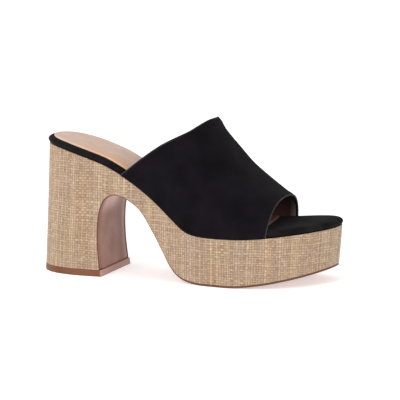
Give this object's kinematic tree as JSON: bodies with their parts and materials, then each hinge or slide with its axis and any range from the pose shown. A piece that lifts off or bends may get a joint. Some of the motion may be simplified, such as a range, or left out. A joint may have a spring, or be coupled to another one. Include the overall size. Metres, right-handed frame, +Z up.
{
  "type": "open-toe platform mule",
  "caption": "Women's slip-on mule with a wide suede band upper, open toe, covered platform and high block heel, right foot.",
  "frame": {"origin": "middle of the flat lower face of the heel lift, on the floor", "axes": "+X towards the toe along the heel's centre line, +Y towards the inner side of the foot, +Z up"},
  "size_m": [0.2297, 0.0932, 0.1239],
  "materials": {
    "woven_cover": "open plain weave of straw-coloured yarn, dull",
    "lift_rubber": "smooth moulded, satin",
    "sole_sheet": "smooth brown, satin",
    "black_suede_bed": "suede nap, very dull",
    "nude_leather": "smooth lining leather, soft sheen",
    "black_suede": "suede nap, very dull"
  },
  "bodies": {
    "root": {"platform_and_heel": "woven_cover", "heel_lift": "lift_rubber", "outsole": "sole_sheet", "footbed": "black_suede_bed", "insole_sock": "nude_leather", "upper": "black_suede"}
  },
  "joints": []
}
